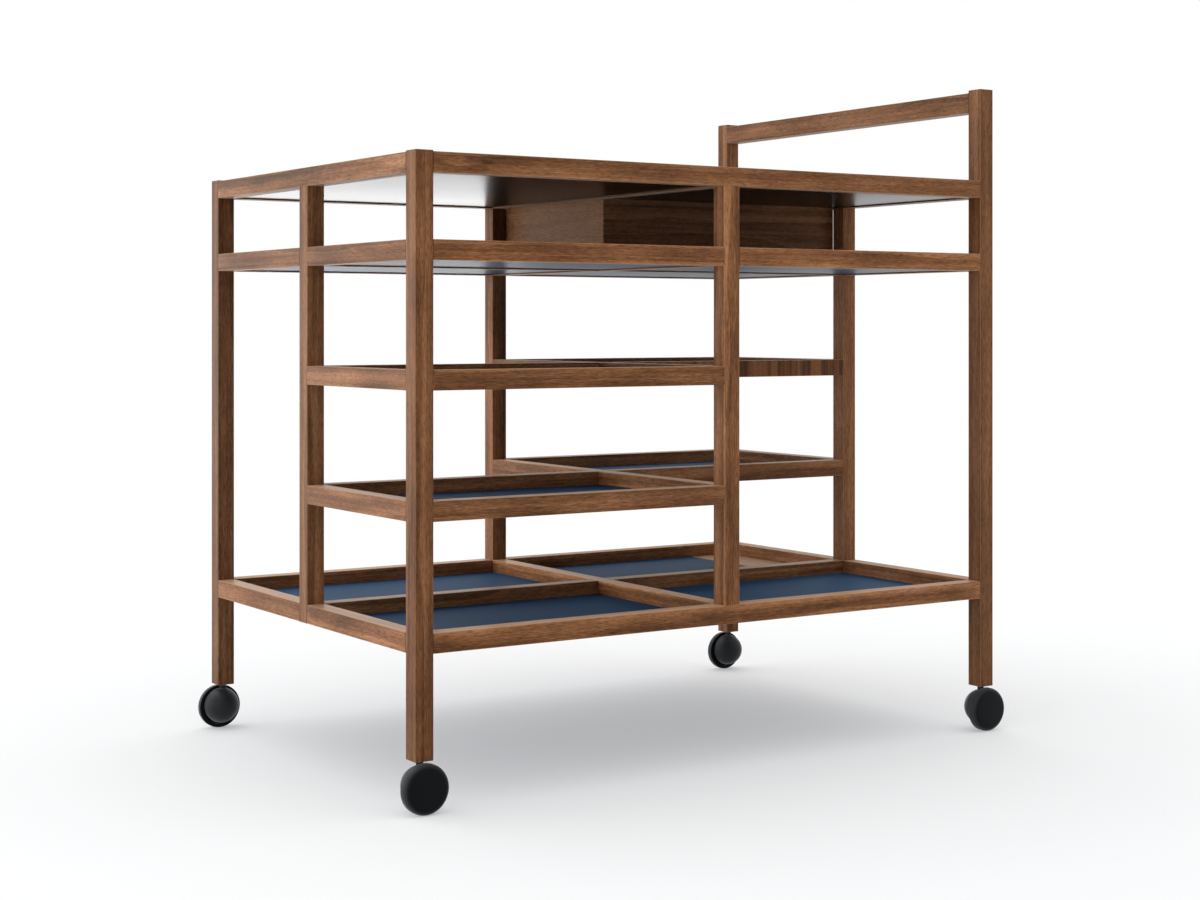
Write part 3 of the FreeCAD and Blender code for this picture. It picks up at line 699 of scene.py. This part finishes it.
def make_floor():
    """A white floor that keeps the shadow near the trolley and fades to plain white away from it.

    From below it isn't seen, so that the underside shows.
    """
    mesh = bpy.data.meshes.new("floor")
    reach = FLOOR_REACH
    square = [(-reach, -reach, 0), (reach, -reach, 0), (reach, reach, 0), (-reach, reach, 0)]
    mesh.from_pydata(square, [], [(0, 1, 2, 3)])
    make = Finish("floor_white")
    seen = make.seen()
    by_camera = make.put("LightPath", {}, out="Is Camera Ray")
    below = make.maths("MULTIPLY", by_camera, make.put("NewGeometry", {}, out="Backfacing"))
    distance = make.length(make.place())
    # painted shade: the floor throws back less light under the trolley than away from it
    bounce = make.span(distance, BOUNCE_FROM, BOUNCE_TO, BOUNCE_NEAR, BOUNCE_FAR)
    grey = make.put("CombineColor", {0: bounce, 1: bounce, 2: bounce})
    make.feed(Base_Color=make.blend(seen, grey, FLOOR_COLOUR), Roughness=0.9,
              Specular_IOR_Level=0.0)
    away = make.span(distance, FADE_FROM, FADE_TO, PLAIN_SHARE, 1.0)
    white = make.put("Emission", {"Color": WHITE, "Strength": 1.0})
    surface = make.layer(make.maths("MULTIPLY", away, seen), make.shader.outputs[0], white)
    surface = make.layer(below, surface, make.put("BsdfTransparent", {}))
    make.tree.links.new(surface, make.tree.nodes["Material Output"].inputs["Surface"])
    mesh.materials.append(make.material)
    floor = bpy.data.objects.new("floor", mesh)
    bpy.context.scene.collection.objects.link(floor)


def make_world():
    """Soft light from all round, stronger from the left end, from the back and from above.

    Its strength towards a direction (x, y, z) above the floor is base + left * (max(-x, 0) *
    (1 - z)) ** 2 + back * max(y, 0) + top * z ** 2. The camera, reflections and clear
    materials see plain white.
    """
    world = bpy.data.worlds.new("studio")
    bpy.context.scene.world = world
    world.use_nodes = True
    make = Nodes(world.node_tree)
    x, y, z = make.split(make.put("TexCoord", {}, out="Generated"))
    leftward = make.maths("MAXIMUM", make.maths("MULTIPLY", x, -1.0), 0.0)
    low_down = make.maths("SUBTRACT", 1.0, make.maths("MAXIMUM", z, 0.0))
    from_left = make.maths("POWER", make.maths("MULTIPLY", leftward, low_down), 2.0)
    from_back = make.maths("MAXIMUM", y, 0.0)
    strength = make.maths("MULTIPLY_ADD", from_left, WORLD_LEFT, WORLD_BASE)
    strength = make.maths("MULTIPLY_ADD", from_back, WORLD_BACK, strength)
    strength = make.maths("MULTIPLY_ADD", make.maths("MULTIPLY", z, z), WORLD_TOP, strength)
    light = make.put("Background", {"Color": WHITE, "Strength": strength})
    white = make.put("Background", {"Color": WHITE, "Strength": 1.0})
    surface = make.layer(make.seen(), light, white)
    make.tree.links.new(surface, make.tree.nodes["World Output"].inputs["Surface"])


def make_lamps():
    """Soft rectangular lamps that the camera doesn't see."""
    for name, (place, target, size, watts, lights) in LAMPS.items():
        lamp = bpy.data.lights.new(name, "AREA")
        lamp.shape = "RECTANGLE"
        lamp.size, lamp.size_y = size
        lamp.energy = watts
        holder = bpy.data.objects.new(name, lamp)
        holder.location = place
        towards = Vector(target) - Vector(place)
        holder.rotation_euler = towards.to_track_quat("-Z", "Y").to_euler()
        holder.visible_camera = False
        holder.visible_diffuse = lights
        bpy.context.scene.collection.objects.link(holder)


def make_camera():
    """The level camera in front of the left end, with its horizon above the picture's middle."""
    lens = bpy.data.cameras.new("camera")
    lens.sensor_width = SENSOR_MM
    lens.lens = LENS_MM
    lens.shift_y = (HORIZON_ROW - PHOTO_HIGH / 2) / PHOTO_WIDE
    lens.clip_end = 100.0
    camera = bpy.data.objects.new("camera", lens)
    camera.location = CAMERA_PLACE
    camera.rotation_euler = (math.radians(90), 0, math.radians(CAMERA_TURN))
    bpy.context.scene.collection.objects.link(camera)
    bpy.context.scene.camera = camera


finish_wood()
finish_panels()
finish_castors()
make_floor()
make_world()
make_lamps()
make_camera()
bpy.context.scene.view_settings.view_transform = "Standard"
